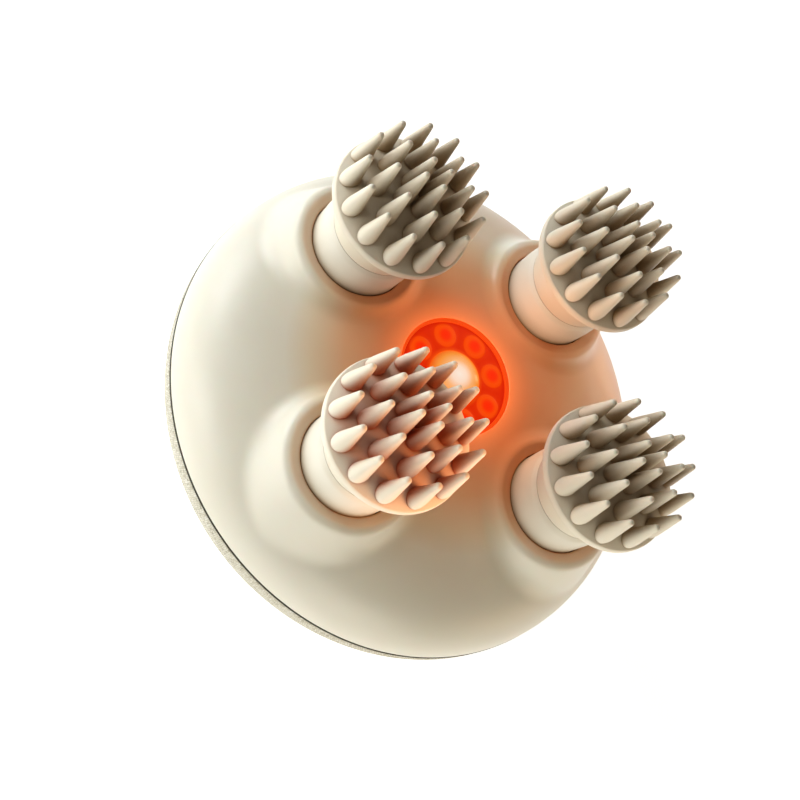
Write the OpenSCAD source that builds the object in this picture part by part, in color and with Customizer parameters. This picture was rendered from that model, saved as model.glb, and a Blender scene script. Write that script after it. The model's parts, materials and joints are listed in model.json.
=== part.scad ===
// Electric kneading scalp massager.
// A round body stands on its flat base cap at z = 0, with four turning silicone
// heads and a red light window on top and a cloth covered palm grip below.
// +Z points out of the heads. The origin is at the bottom centre of the base cap.

/* [Body] */
// Largest radius of the body
body_radius = 49.7; // [49:0.1:52]
// Height of the widest place of the body
widest_z = 36; // [35.5:0.1:36.5]
// Height of the seam between the smooth front shell and the cloth grip
seam_z = 38; // [37.8:0.1:38.3]
// Rise of the front shell above the widest place
front_rise = 20; // [19.8:0.1:20.5]
// Fullness of the front shell's curve, where 2 is an ellipse
front_power = 2.75; // [2.6:0.05:3]
// Depth of the grip's full curve below the widest place
rear_drop = 40; // [39:0.5:42]
// Fullness of the grip's curve, where 2 is an ellipse
rear_power = 1.55; // [1.5:0.01:1.6]
// Wall of both plastic shells
wall = 2.4; // [2:0.1:2.6]
// Thickness of the cloth grip cover
cloth = 1.2; // [1:0.1:1.5]

/* [Heads] */
// Distance from the middle of the body to each head's axis
head_offset = 30; // [29.8:0.1:30.2]
// Radius of the plastic neck below each head
neck_radius = 9.66; // [9:0.02:9.7]
// Radius of the silicone plate that carries the spikes
plate_radius = 13.5; // [13:0.1:14]
// Height of the plate's top at its edge
plate_z = 74; // [73.8:0.1:74.2]
// Rise of the plate's domed middle above its edge
plate_crown = 3.6; // [3:0.1:4]
// Radius of a spike where it leaves the plate
spike_base = 1.7; // [1.5:0.05:1.75]
// Radius of a spike just below its rounded tip
spike_tip = 0.6; // [0.5:0.02:0.8]
// Spikes in the outer, middle and inner rings
ring_counts = [13, 8, 4]; // [3:1:13]
// Radius of each ring of spikes
ring_radii = [11.4, 7.1, 2.55]; // [2.5:0.05:11.45]
// Angle of the first spike in each ring
ring_starts = [135, 0, 67.5]; // [0:0.5:180]
// Height of the spike tips in each ring
tip_heights = [83.1, 85.3, 86.6]; // [82:0.1:87]

/* [Collars] */
// Radius of the top edge of each collar
collar_top = 13.4; // [13:0.1:13.8]
// Radius of each collar's foot
collar_foot = 17.2; // [16.5:0.1:17.5]
// Height of the round edge at the top of each collar
seat_z = 56.7; // [56.5:0.1:57]
// Gap between a neck and the collar's hole
neck_gap = 0.29; // [0.25:0.01:0.4]

/* [Light] */
// Radius of the red light window
window_radius = 11.2; // [11:0.1:11.3]
// Height of the window's face
window_z = 55.25; // [55:0.05:55.5]
// Radius of the clear lens in the middle
lens_radius = 5.4; // [5:0.1:5.6]
// Number of light dots
dot_count = 8; // [6:1:8]
// Radius of the circle of light dots
dot_ring = 8.5; // [8.3:0.1:8.6]
// Radius of one light dot
dot_radius = 2.3; // [2:0.1:2.4]

/* [Gears] */
// Teeth on the middle gear
sun_teeth = 36; // [36]
// Teeth on each head's gear
spindle_teeth = 24; // [24]
// Width of the gear teeth
gear_width = 5; // [4:0.5:5]
// Thinning of each tooth for running play
backlash = 0.16; // [0.12:0.01:0.2]

/* [Shafts] */
// Radius of the steel shafts
shaft_radius = 3; // [2.9:0.05:3]
// Radial play of a shaft in its bush
running_play = 0.05; // [0.03:0.01:0.08]

/* [Button and charging port] */
// Radius of the power button's face
button_radius = 6; // [5:0.1:6]
// Travel of the power button
button_travel = 1.2; // [0.8:0.1:1.2]
// Width of the charging port's flap
flap_width = 13; // [12:0.5:14]
// Direction of the charging port, seen from above
port_angle = 45; // [43:1:47]

/* [Hidden] */
$fn = 96;

LEFT = 180;
BACK = 90;
RIGHT = 0;
FRONT = 270;
HEADS = [LEFT, BACK, RIGHT, FRONT];

curve_steps = 18;
seam_height = 0.5;
chassis_z = 35;
chassis_thick = 3;
chassis_top = chassis_z + chassis_thick;
chassis_radius = 44;
gear_z = 39.5;
gear_module = 2 * head_offset / (sun_teeth + spindle_teeth);
cover_z = 46;
cover_thick = 2.5;
cover_top = cover_z + cover_thick;
bush_radius = 5;
spindle_bottom = 34.2;
hub_bottom = 52.6;
hub_shoulder = 63.9;
hub_top = 71;
spindle_top = 69;
crown_edge = plate_radius - 0.3;
crown_steps = 6;
collar_base = 45.5;
cavity_radius = 11.6;
cavity_top = 54.6;
frame_post_ring = 40;
frame_post_angles = [25, 155, 205, 335];
pillar_ring = 31;
motor_radius = 14;
motor_bottom = 10;
motor_screw_x = 10;
battery_centre = [0, -22, 26.5];
battery_radius = 7;
battery_length = 48;
board_z = 6;
board_thick = 1.6;
cap_radius = 17;
flap_bottom = 39;
flap_top = 44.4;
flap_thick = 1;
flap_gap = 0.25;
hinge_reach = 49;
hinge_z = 39.5;
hinge_radius = 0.4;
port_z = 39.5;
port_height = 3.3;
port_width = 9;

// ---- shared shapes ----

// Quarter of a rounded outline from its widest point up to its axis
function shoulder(reach, rise, power) = [
    for (i = [0:curve_steps])
        let (a = 90 * i / curve_steps)
        [reach * pow(cos(a), 2 / power), rise * pow(max(0, sin(a)), 2 / power)]
];

// Outline of a rectangle about its middle with rounded corners
function rounded_outline(w, h, r) = [
    for (corner = [[1, 1, 0], [-1, 1, 90], [-1, -1, 180], [1, -1, 270]])
        for (i = [0:4])
            let (a = corner[2] + i * 22.5)
            [corner[0] * (w / 2 - r) + r * cos(a), corner[1] * (h / 2 - r) + r * sin(a)]
];

// Moves children to a radius and direction from the body's axis
module at_polar(radius, angle) {
    translate([radius * cos(angle), radius * sin(angle), 0])
        children();
}

// Moves children to every head's axis
module at_heads() {
    for (angle = HEADS)
        at_polar(head_offset, angle)
            children();
}

// Upright cylinder from one height to another
module post(radius, from, to) {
    translate([0, 0, from])
        cylinder(r = radius, h = to - from);
}

// Upright ring from one height to another
module ring(outer, inner, from, to) {
    difference() {
        post(outer, from, to);
        post(inner, from - 1, to + 1);
    }
}

// Solid of the front dome, shrunk by an inset
module front_solid(inset) {
    outline = shoulder(body_radius - inset, front_rise - inset, front_power);
    translate([0, 0, widest_z])
        rotate_extrude()
            polygon(concat([[0, 0]], outline));
}

// Solid of the palm grip, shrunk by an inset
module rear_solid(inset) {
    outline = shoulder(body_radius - inset, rear_drop - inset, rear_power);
    top = seam_z - seam_height - widest_z;
    translate([0, 0, widest_z])
        rotate_extrude()
            polygon(concat([[0, top], [body_radius - inset, top]], [for (p = outline) [p[0], -p[1]]]));
}

// Slab that crosses the wall at the charging port
module port_slab(width, bottom, top, from, to, corner) {
    rotate([0, 0, port_angle])
        translate([from, 0, (bottom + top) / 2])
            rotate([90, 0, 90])
                linear_extrude(to - from)
                    polygon(rounded_outline(width, top - bottom, corner));
}

// Pan head screw standing on its head, shank pointing down
module screw(shank, head, shank_bottom, head_bottom, head_height) {
    difference() {
        union() {
            post(shank, shank_bottom, head_bottom);
            post(head, head_bottom, head_bottom + head_height);
        }
        translate([0, 0, head_bottom + head_height - 0.6])
            linear_extrude(1)
                square([head * 1.1, 0.5], center = true);
        translate([0, 0, head_bottom + head_height - 0.6])
            linear_extrude(1)
                square([0.5, head * 1.1], center = true);
    }
}

// Angle between a tooth flank and its start on the base circle
function flank_angle(radius, base) =
    let (a = acos(min(1, base / radius)))
    tan(a) * 180 / PI - a;

// Outline of a spur gear with involute flanks, its first tooth at angle start
function gear_outline(teeth, start) =
    let (pitch = gear_module * teeth / 2)
    let (base = pitch * cos(20))
    let (tip = pitch + 0.95 * gear_module)
    let (root = pitch - 1.25 * gear_module)
    let (half = 90 / teeth + flank_angle(pitch, base) - backlash / 2 / pitch * 180 / PI)
    let (low = max(root + 0.1, base))
    [for (tooth = [0:teeth - 1])
        let (middle = start + tooth * 360 / teeth)
        let (radii = [for (i = [0:4]) low + (tip - low) * i / 4])
        let (rising = [for (r = radii) [r, middle - half + flank_angle(r, base)]])
        let (falling = [for (i = [4:-1:0]) [radii[i], middle + half - flank_angle(radii[i], base)]])
        for (p = concat([[root, middle - half - 0.4]], rising, falling, [[root, middle + half + 0.4]]))
            [p[0] * cos(p[1]), p[0] * sin(p[1])]
    ];

module spur_gear(teeth, start, hub) {
    difference() {
        union() {
            translate([0, 0, gear_z])
                linear_extrude(gear_width)
                    polygon(gear_outline(teeth, start));
            post(hub, gear_z - 0.9, gear_z + gear_width + 1);
        }
        post(shaft_radius, gear_z - 5, gear_z + gear_width + 5);
    }
}

// ---- body ----

// Raised collar that carries one head, round edged with a seat that dips towards the neck
module collar() {
    edge = 1.1;
    dip = 0.28;
    rotate_extrude()
        polygon(concat(
            [[0, collar_base], [collar_foot, collar_base]],
            [for (i = [0:4])
                let (a = 18 * i)
                [collar_top - edge + edge * cos(a), seat_z - edge + edge * sin(a)]],
            [[collar_top - edge, seat_z], [11.2, seat_z - 0.6 * dip], [10.5, seat_z - dip]],
            [[0, seat_z - dip]]
        ));
}

module front_shell() {
    lip_outer = body_radius - cloth - wall - 0.1;
    lip_inner = chassis_radius + 0.3;
    lip_bottom = chassis_z + 0.5;
    color("ivory")
        difference() {
            union() {
                difference() {
                    union() {
                        front_solid(0);
                        at_heads()
                            collar();
                    }
                    front_solid(wall);
                    post(body_radius + 5, 0, seam_z);
                }
                ring(body_radius - 1.5, lip_inner, seam_z, seam_z + 1.5);
                ring(lip_outer, lip_inner, lip_bottom, seam_z + 1);
            }
            at_heads()
                post(cavity_radius, collar_base - 1, cavity_top);
            at_heads()
                post(neck_radius + neck_gap, cavity_top - 1, seat_z + 2);
            post(window_radius + 0.6, 45, 60);
            port_slab(port_width + 0.6, port_z - 0.2, port_z + port_height + 0.3, 40, 52, 0.8);
            difference() {
                port_slab(flap_width + 2 * flap_gap, flap_bottom - flap_gap, flap_top + flap_gap,
                    44, 52, 1.6);
                front_solid(flap_thick + 0.15);
            }
        }
}

module rear_shell() {
    color("gainsboro")
        difference() {
            union() {
                difference() {
                    rear_solid(cloth);
                    rear_solid(cloth + wall);
                }
                intersection() {
                    for (angle = frame_post_angles)
                        at_polar(frame_post_ring, angle)
                            post(3.4, 12, chassis_z);
                    rear_solid(cloth + 1);
                }
            }
            post(15, -5, 12);
            post(body_radius, -5, 1.7);
            post(body_radius - cloth - wall, widest_z, seam_z + 1);
            for (angle = frame_post_angles)
                at_polar(frame_post_ring, angle)
                    post(1.1, 26, chassis_z + 1);
        }
}

module fabric_cover() {
    color("tan")
        difference() {
            rear_solid(0);
            rear_solid(cloth);
            post(cap_radius + 0.1, -5, 12);
            post(body_radius - cloth, widest_z, seam_z + 1);
        }
}

module seam_ring() {
    color("dimgray")
        ring(body_radius - 0.45, body_radius - cloth - wall, seam_z - seam_height, seam_z);
}

module base_cap() {
    color("antiquewhite")
        rotate_extrude()
            polygon([[10, 0], [16, 0], [16.7, 0.3], [cap_radius, 1], [cap_radius, 1.7], [15, 1.7],
                [15, board_z], [13, board_z], [13, 1.7], [button_radius + 0.3, 1.7],
                [button_radius + 0.3, 0.9], [9.5, 0.9]]);
}

// ---- frame and power ----

module chassis() {
    color("lightgray")
        difference() {
            union() {
                post(chassis_radius, chassis_z, chassis_top);
                at_heads()
                    post(7, chassis_z - 1, chassis_z + 1);
                for (angle = [45:90:315])
                    at_polar(pillar_ring, angle)
                        post(3, chassis_top - 1, cover_z);
            }
            post(bush_radius, chassis_z - 5, chassis_top + 5);
            at_heads()
                post(bush_radius, chassis_z - 5, chassis_top + 5);
            for (angle = [45:90:315])
                at_polar(pillar_ring, angle)
                    post(1, 40, cover_z + 1);
            for (angle = frame_post_angles)
                at_polar(frame_post_ring, angle)
                    post(1.1, chassis_z - 1, chassis_top + 1);
            for (side = [-1, 1])
                translate([side * motor_screw_x, 0, 0]) {
                    post(1, chassis_z - 1, chassis_top + 1);
                    post(2, chassis_top - 1.2, chassis_top + 1);
                }
        }
}

module gear_cover() {
    color("lightgray")
        difference() {
            post(37.5, cover_z, cover_top);
            post(bush_radius, cover_z - 1, cover_top + 1);
            at_heads()
                post(bush_radius, cover_z - 1, cover_top + 1);
            for (angle = [45:90:315])
                at_polar(pillar_ring, angle)
                    post(1, cover_z - 1, cover_top + 1);
        }
}

module gear_motor() {
    color("silver")
        difference() {
            union() {
                post(motor_radius - 1.5, motor_bottom, motor_bottom + 13);
                post(motor_radius, motor_bottom + 12, chassis_z);
                post(bush_radius, chassis_z - 1, chassis_top);
            }
            post(shaft_radius + running_play, 28.5, chassis_top + 1);
            for (side = [-1, 1])
                translate([side * motor_screw_x, 0, 0])
                    post(1, 31, chassis_z + 1);
        }
}

module battery() {
    color("royalblue")
        translate(battery_centre)
            rotate([0, 90, 0])
                union() {
                    translate([0, 0, -battery_length / 2])
                        cylinder(r = battery_radius, h = battery_length);
                    translate([0, 0, battery_length / 2 - 1])
                        cylinder(r = 2.7, h = 2);
                }
}

module battery_cradle() {
    foot_z = 18.3;
    arm_reach = battery_radius + 1;
    color("whitesmoke")
        difference() {
            for (side = [-1, 1])
                translate([side * 16.5 - 2.5, battery_centre[1] - arm_reach, foot_z])
                    cube([5, 2 * arm_reach, chassis_z - foot_z]);
            translate([-30, battery_centre[1], battery_centre[2]])
                rotate([0, 90, 0])
                    cylinder(r = battery_radius, h = 60);
        }
}

module main_board() {
    color("darkgreen")
        post(16, board_z, board_z + board_thick);
}

module board_parts() {
    top = board_z + board_thick;
    color("black") {
        translate([-4, -3, top])
            cube([6, 6, 1]);
        translate([5, -9, top])
            cube([5, 4, 1.8]);
        translate([-11, 2, top])
            cube([4, 7, 2]);
        translate([7, 6, 0])
            post(2, top, top + 2);
    }
}

module button_switch() {
    color("gray")
        post(2.5, 4.9, board_z);
}

module port_board() {
    color("darkgreen")
        rotate([0, 0, port_angle])
            translate([34.6, -6, chassis_top])
                cube([9.2, 12, port_z - chassis_top]);
}

module charge_port() {
    color("silver")
        difference() {
            port_slab(port_width, port_z, port_z + port_height, 39.8, 47.4, 1.5);
            port_slab(port_width - 0.8, port_z + 0.4, port_z + port_height - 0.4, 41, 50, 1.2);
        }
}

// ---- light ----

module led_cup() {
    color("white")
        difference() {
            post(13, 49.6, 53.4);
            post(12.1, 50.4, 54);
        }
}

module led_board() {
    color("darkgreen")
        post(12, 50.4, 52);
}

module led_chips() {
    color("red") {
        for (i = [0:dot_count - 1])
            at_polar(dot_ring, 14.2 + i * 360 / dot_count)
                post(dot_radius, 52, 53.4);
        post(2.6, 52, 53.4);
    }
}

module light_window() {
    color("red")
        ring(window_radius, lens_radius, 54, window_z);
}

module window_ring() {
    color("darkred")
        ring(window_radius + 0.6, window_radius, 53.4, 55.8);
}

module centre_lens() {
    color("orange")
        translate([0, 0, 54])
            rotate_extrude()
                polygon(concat([[0, 0], [lens_radius, 0]],
                    [for (p = shoulder(lens_radius, 2, 2)) [p[0], p[1] + 1.1]]));
}

// ---- bearings, seals and fasteners ----

module neck_seals() {
    color("black")
        at_heads()
            ring(cavity_radius, neck_radius + 0.1, 53.6, cavity_top);
}

module lower_bushes() {
    color("goldenrod")
        at_heads()
            ring(bush_radius, shaft_radius + running_play, chassis_z - 1, chassis_top + 0.3);
}

module upper_bushes() {
    color("goldenrod") {
        at_heads()
            ring(bush_radius, shaft_radius + running_play, cover_z - 0.2, cover_top + 0.5);
        ring(bush_radius, shaft_radius + running_play, cover_z - 0.2, cover_top + 0.5);
    }
}

module frame_screws() {
    color("silver")
        for (angle = frame_post_angles)
            at_polar(frame_post_ring, angle)
                screw(1.1, 2.2, 26.5, chassis_top, 1.4);
}

module cover_screws() {
    color("silver")
        for (angle = [45:90:315])
            at_polar(pillar_ring, angle)
                screw(1, 2, 40.5, cover_top, 1.2);
}

module motor_screws() {
    color("silver")
        for (side = [-1, 1])
            translate([side * motor_screw_x, 0, 0])
                screw(1, 1.9, 31.5, chassis_top - 1.2, 1.2);
}

// ---- drive ----

module sun_gear() {
    color("white")
        spur_gear(sun_teeth, 0, 6);
}

module drive_shaft() {
    color("silver")
        post(shaft_radius, 29, 48.8);
}

// Gear of one head, with a gap between teeth facing the middle gear
module spindle_gear(angle) {
    color("white")
        at_polar(head_offset, angle)
            spur_gear(spindle_teeth, 180 / spindle_teeth, 5.5);
}

module spindle_gear_left() {
    spindle_gear(LEFT);
}

module spindle_gear_back() {
    spindle_gear(BACK);
}

module spindle_gear_right() {
    spindle_gear(RIGHT);
}

module spindle_gear_front() {
    spindle_gear(FRONT);
}

module spindle(angle) {
    color("silver")
        at_polar(head_offset, angle)
            post(shaft_radius, spindle_bottom, spindle_top);
}

module spindle_left() {
    spindle(LEFT);
}

module spindle_back() {
    spindle(BACK);
}

module spindle_right() {
    spindle(RIGHT);
}

module spindle_front() {
    spindle(FRONT);
}

// Plastic neck with a softly rounded shoulder and a spigot for the silicone
module neck_hub(angle) {
    color("ivory")
        at_polar(head_offset, angle)
            rotate_extrude()
                polygon([[shaft_radius, hub_bottom], [9.2, hub_bottom], [neck_radius, hub_bottom + 0.6],
                    [neck_radius, 57.5], [neck_radius + 0.08, 60], [neck_radius, 62.2], [9.4, 63.2],
                    [8.9, hub_shoulder], [7, hub_shoulder], [7, hub_top], [0, hub_top],
                    [0, spindle_top], [shaft_radius, spindle_top]]);
}

module neck_hub_left() {
    neck_hub(LEFT);
}

module neck_hub_back() {
    neck_hub(BACK);
}

module neck_hub_right() {
    neck_hub(RIGHT);
}

module neck_hub_front() {
    neck_hub(FRONT);
}

// Height of the plate's domed top at a distance from its axis
function crown(radius) = plate_z + plate_crown * (1 - pow(radius / crown_edge, 2));

// One tapered spike with a sunk foot and a rounded tip
module spike(bottom, top) {
    foot = bottom - 1.2;
    rotate_extrude($fn = 32)
        polygon([[0, foot], [spike_base, foot], [spike_base, bottom + 0.2],
            [spike_base - 0.12, bottom + 1.1], [spike_tip, top - 0.6], [spike_tip - 0.1, top - 0.3],
            [spike_tip - 0.3, top - 0.08], [0, top]]);
}

// Silicone plate on its sleeve, domed inside a rounded lip
module spike_plate() {
    rotate_extrude()
        polygon(concat(
            [[7, hub_shoulder], [9.05, hub_shoulder], [9, 69.5], [9.5, 70.9], [10.6, 71.8],
                [plate_radius - 0.7, plate_z - 1.9], [plate_radius - 0.15, plate_z - 1.7],
                [plate_radius, plate_z - 1.3], [plate_radius, plate_z - 0.6],
                [plate_radius - 0.1, plate_z - 0.2]],
            [for (i = [0:crown_steps - 1])
                let (r = crown_edge * (1 - i / crown_steps))
                [r, crown(r)]],
            [[0, crown(0)], [0, hub_top], [7, hub_top]]
        ));
}

module massage_head(angle) {
    color("antiquewhite")
        at_polar(head_offset, angle) {
            spike_plate();
            for (row = [0:2])
                for (i = [0:ring_counts[row] - 1])
                    at_polar(ring_radii[row], ring_starts[row] + i * 360 / ring_counts[row])
                        spike(crown(ring_radii[row]), tip_heights[row]);
        }
}

module massage_head_left() {
    massage_head(LEFT);
}

module massage_head_back() {
    massage_head(BACK);
}

module massage_head_right() {
    massage_head(RIGHT);
}

module massage_head_front() {
    massage_head(FRONT);
}

// ---- button and flap ----

module power_button() {
    color("gray")
        rotate_extrude()
            polygon([[0, 0.5], [5.4, 0.5], [button_radius, 0.9], [button_radius, 1.75], [7.4, 1.75],
                [7.4, 2.6], [2, 2.6], [2, 4.85 - button_travel], [0, 4.85 - button_travel]]);
}

// Port flap with a round hinge bead along its lower edge
module port_cover() {
    bead = 6;
    color("antiquewhite") {
        intersection() {
            difference() {
                front_solid(0);
                front_solid(flap_thick);
            }
            port_slab(flap_width, hinge_z, flap_top, 44, 52, 1.4);
        }
        rotate([0, 0, port_angle])
            translate([hinge_reach, bead / 2, hinge_z])
                rotate([90, 0, 0])
                    cylinder(r = hinge_radius, h = bead);
    }
}

front_shell();
rear_shell();
fabric_cover();
seam_ring();
base_cap();
chassis();
gear_cover();
gear_motor();
battery();
battery_cradle();
main_board();
board_parts();
button_switch();
port_board();
charge_port();
led_cup();
led_board();
led_chips();
light_window();
window_ring();
centre_lens();
neck_seals();
lower_bushes();
upper_bushes();
frame_screws();
cover_screws();
motor_screws();
sun_gear();
drive_shaft();
power_button();
port_cover();
massage_head_left();
massage_head_back();
massage_head_right();
massage_head_front();
neck_hub_left();
neck_hub_back();
neck_hub_right();
neck_hub_front();
spindle_left();
spindle_back();
spindle_right();
spindle_front();
spindle_gear_left();
spindle_gear_back();
spindle_gear_right();
spindle_gear_front();
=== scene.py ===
import bpy
import bmesh
import json
import math
import numpy as np
from mathutils import Matrix, Vector
from mathutils.geometry import delaunay_2d_cdt


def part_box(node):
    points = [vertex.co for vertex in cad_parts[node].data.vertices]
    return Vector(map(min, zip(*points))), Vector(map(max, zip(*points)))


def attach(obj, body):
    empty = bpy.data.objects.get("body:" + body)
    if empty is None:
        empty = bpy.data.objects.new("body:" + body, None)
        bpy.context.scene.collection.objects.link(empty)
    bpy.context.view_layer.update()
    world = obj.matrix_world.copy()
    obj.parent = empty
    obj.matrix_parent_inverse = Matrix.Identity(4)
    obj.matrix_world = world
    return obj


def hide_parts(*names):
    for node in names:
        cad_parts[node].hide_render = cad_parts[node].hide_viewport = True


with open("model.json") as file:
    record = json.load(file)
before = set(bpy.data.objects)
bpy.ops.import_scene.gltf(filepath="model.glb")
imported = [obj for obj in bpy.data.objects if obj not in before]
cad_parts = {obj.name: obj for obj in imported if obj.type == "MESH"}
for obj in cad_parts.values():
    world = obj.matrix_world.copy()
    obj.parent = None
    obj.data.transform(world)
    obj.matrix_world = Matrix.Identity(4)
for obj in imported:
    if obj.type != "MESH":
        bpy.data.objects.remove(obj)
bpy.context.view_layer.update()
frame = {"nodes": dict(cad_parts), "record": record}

# -------------------- numbers from the frame, in millimetres
MM = 0.001


def box_mm(node):
    """Lowest and highest corners of a CAD node at rest, in millimetres."""
    lo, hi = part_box(node)
    return [c / MM for c in lo], [c / MM for c in hi]


def span(node):
    """Radius, bottom and top of a node that is round about its own upright axis."""
    lo, hi = box_mm(node)
    return (hi[0] - lo[0]) / 2, lo[2], hi[2]


SIDES = ["left", "back", "right", "front"]
AXES = {}
for side in SIDES:
    lo, hi = box_mm(f"neck_hub_{side}")
    AXES[side] = ((lo[0] + hi[0]) / 2, (lo[1] + hi[1]) / 2)

BODY_R = span("fabric_cover")[0]
_, SEAM_LOW, SEAM_TOP = span("seam_ring")
_, LIP_LOW, RIM_Z = span("front_shell")
HUB_R, HUB_LOW, HUB_TOP = span("neck_hub_front")
PLATE_R, SLEEVE_LOW, TIP_TOP = span("massage_head_front")
RING_R, RING_LOW, RING_TOP = span("window_ring")
WINDOW_R, WINDOW_LOW, WINDOW_TOP = span("light_window")
LENS_R, LENS_LOW, LENS_TOP = span("centre_lens")
CAP_R, CAP_LOW, CAP_TOP = span("base_cap")
BUTTON_R, _, BUTTON_TOP = span("power_button")
HINGE = next(j["pos_m"] for j in frame["record"]["behaviour"]["joints"] if j["name"] == "port_flap_hinge")
HINGE_REACH, HINGE_Z = math.hypot(*HINGE[:2]) / MM, HINGE[2] / MM

# The dome and the grip are superellipses about the widest place, as in the CAD.
WIDEST_Z = 36.0
FRONT_RISE, FRONT_POWER = 20.0, 2.75
REAR_DROP, REAR_POWER = 40.0, 1.55
WALL = 2.4
CLOTH = 1.2
HOLE_R = HUB_R + 0.1
CAVITY_R, CAVITY_TOP = 11.6, 54.6
PORT_ANGLE = math.radians(45)

# Eight lights stand in a ring behind the window.
LIGHTS = 8
LIGHT_STEP = 2 * math.pi / LIGHTS
LIGHT_START = math.radians(14.2)
LIGHT_REACH, LIGHT_DISC_R = 8.5, 2.35
YARN_PITCH = 0.52


# -------------------- mesh helpers
def circle(n):
    """Cosine and sine at even steps round a circle."""
    return [(math.cos(2 * math.pi * k / n), math.sin(2 * math.pi * k / n)) for k in range(n)]


class Shape:
    """Points, in millimetres, and faces of a piece that is being made."""

    def __init__(self):
        self.verts, self.faces = [], []

    def add(self, points):
        """Adds a row of points and gives their numbers."""
        first = len(self.verts)
        self.verts += [tuple(float(c) for c in p) for p in points]
        return list(range(first, len(self.verts)))

    def bridge(self, a, b):
        """Quads between two closed rows of the same length."""
        n = len(a)
        self.faces += [(a[k], b[k], b[(k + 1) % n], a[(k + 1) % n]) for k in range(n)]

    def grow(self, row, rows):
        """Carries a row on through further rows of points, and gives the last one."""
        for points in rows:
            fresh = self.add(points)
            self.bridge(row, fresh)
            row = fresh
        return row

    def turn(self, row, profile, unit, centre=(0, 0)):
        """Carries a row on along a turned profile of (radius, height) pairs. unit is the unit circle."""
        x, y = centre
        return self.grow(row, ([(x + r * c, y + r * s, z) for c, s in unit] for r, z in profile))

    def close(self, row, point):
        """Triangles between a row and a single point."""
        hub = self.add([point])[0]
        self.faces += [(row[k], row[(k + 1) % len(row)], hub) for k in range(len(row))]

    def link(self, name):
        """Object with this shape, its faces turned outwards."""
        me = bpy.data.meshes.new(name)
        me.from_pydata([Vector(v) * MM for v in self.verts], [], self.faces)
        bm = bmesh.new()
        bm.from_mesh(me)
        bmesh.ops.remove_doubles(bm, verts=bm.verts, dist=1e-7)
        bmesh.ops.recalc_face_normals(bm, faces=bm.faces)
        bm.to_mesh(me)
        bm.free()
        ob = bpy.data.objects.new(name, me)
        bpy.context.scene.collection.objects.link(ob)
        return ob


def smooth(ob, sharp):
    """Smooth shading, with edges kept sharp past that many degrees."""
    for face in ob.data.polygons:
        face.use_smooth = True
    ob.data.set_sharp_from_angle(angle=math.radians(sharp))


def piece(name, shape, body, slot, node, sharp=40.0, finish=None):
    """Visible piece that rides on a body and stands for a CAD node. Its slot gives its finish,
    unless it has one of its own."""
    ob = shape.link(name)
    smooth(ob, sharp)
    ob.data.materials.append(finish or FINISHES[slot])
    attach(ob, body)
    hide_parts(node)
    return ob


def soften(points, radius, steps=4, closed=True):
    """Outline with each corner rounded by up to that radius, or by its own one in a list."""
    pts = [np.array(p, float) for p in points]
    out, n = [], len(pts)
    for i, p in enumerate(pts):
        a, b = pts[i - 1] - p, pts[(i + 1) % n] - p
        la, lb = np.linalg.norm(a), np.linalg.norm(b)
        a, b = a / la, b / lb
        half = math.acos(max(-1, min(1, float(a @ b)))) / 2
        r = radius[i] if hasattr(radius, "__len__") else radius
        nearly_straight = half > 1.5
        if r <= 0 or nearly_straight or (not closed and i in (0, n - 1)):
            out.append(tuple(p))
            continue
        t = min(r / math.tan(half), 0.45 * la, 0.45 * lb)
        for k in range(steps + 1):
            s = k / steps
            q = (1 - s) ** 2 * (p + a * t) + 2 * s * (1 - s) * p + s * s * (p + b * t)
            out.append(tuple(q))
    return out


def lathe(profile, n, centre=(0, 0)):
    """Turned shape from a closed profile of (radius, height) pairs. A point on the axis is a single one."""
    shape, rows = Shape(), []
    for r, z in profile:
        if r < 1e-6:
            rows.append(shape.add([(*centre, z)]) * n)
        else:
            rows.append(shape.add([(centre[0] + r * c, centre[1] + r * s, z) for c, s in circle(n)]))
    for lower, upper in zip(rows, rows[1:] + rows[:1]):
        low_point, high_point = lower[0] == lower[1], upper[0] == upper[1]
        if low_point and high_point:
            continue
        for k in range(n):
            m = (k + 1) % n
            if low_point:
                shape.faces.append((lower[0], upper[k], upper[m]))
            elif high_point:
                shape.faces.append((lower[k], upper[0], lower[m]))
            else:
                shape.faces.append((lower[k], upper[k], upper[m], lower[m]))
    return shape


def inside(polygon, points):
    """Which points are inside a closed polygon."""
    polygon, points = np.asarray(polygon), np.asarray(points)
    x, y = points[:, 0][:, None], points[:, 1][:, None]
    x1, y1 = polygon[:, 0][None], polygon[:, 1][None]
    x2, y2 = np.roll(polygon[:, 0], -1)[None], np.roll(polygon[:, 1], -1)[None]
    cross = (y1 > y) != (y2 > y)
    at = (x2 - x1) * (y - y1) / np.where(np.abs(y2 - y1) < 1e-12, 1e-12, y2 - y1) + x1
    return (cross & (x < at)).sum(axis=1) % 2 == 1


def strewn(start, stop, spacing):
    """Points at even spaces over a flat ring. spacing(s) gives the space along and across the ring."""
    points, s, k = [], start, 0
    while s < stop:
        along, across = spacing(s)
        count = int(2 * math.pi * s / along)
        for j in range(count):
            a = 2 * math.pi * (j + 0.5 * (k % 2)) / count
            points.append((s * math.cos(a), s * math.sin(a)))
        s += across
        k += 1
    return points


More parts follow.
